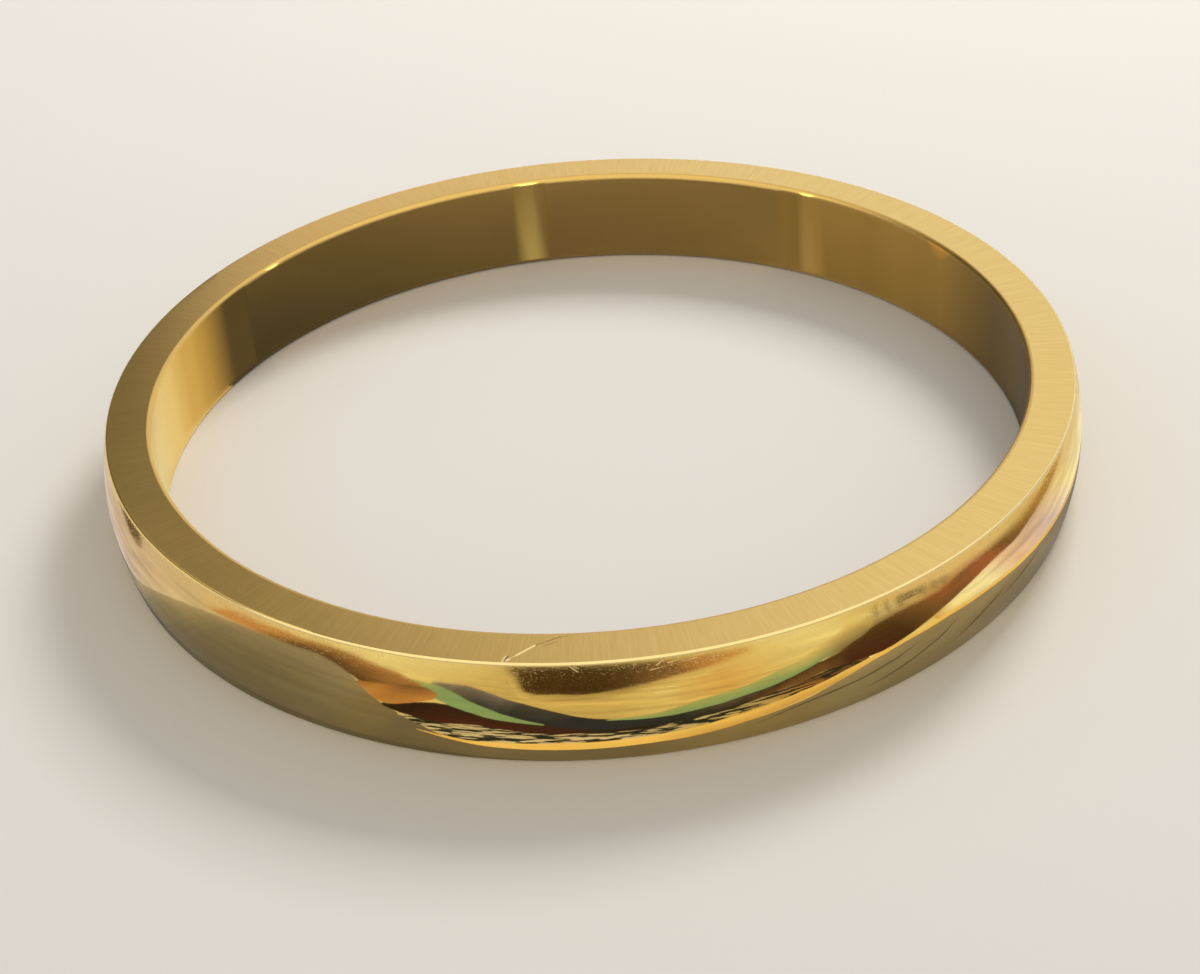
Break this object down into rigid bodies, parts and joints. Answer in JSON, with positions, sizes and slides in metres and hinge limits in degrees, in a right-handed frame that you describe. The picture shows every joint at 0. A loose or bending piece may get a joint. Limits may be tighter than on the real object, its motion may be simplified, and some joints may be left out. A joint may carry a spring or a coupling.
{
  "type": "kada bangle",
  "caption": "Round closed bangle of solid metal with a D-shaped section: plain bore, flat side faces, rounded inner edges and a shallow polished dome outside.",
  "frame": {"origin": "centre of the bore, in the plane of the lower side face that the bangle lies on", "axes": "+Z along the bore's axis, up from the lower side face; +X and +Y lie in that face and are alike, because the bangle is round"},
  "size_m": [0.074, 0.074, 0.008],
  "materials": {
    "gold_metal": "gold-coloured plating: mirror-polished dome, cross-brushed satin side faces, satin bore lapped round its axis, burnished edges"
  },
  "bodies": {
    "root": {"kada_band": "gold_metal"}
  },
  "joints": []
}
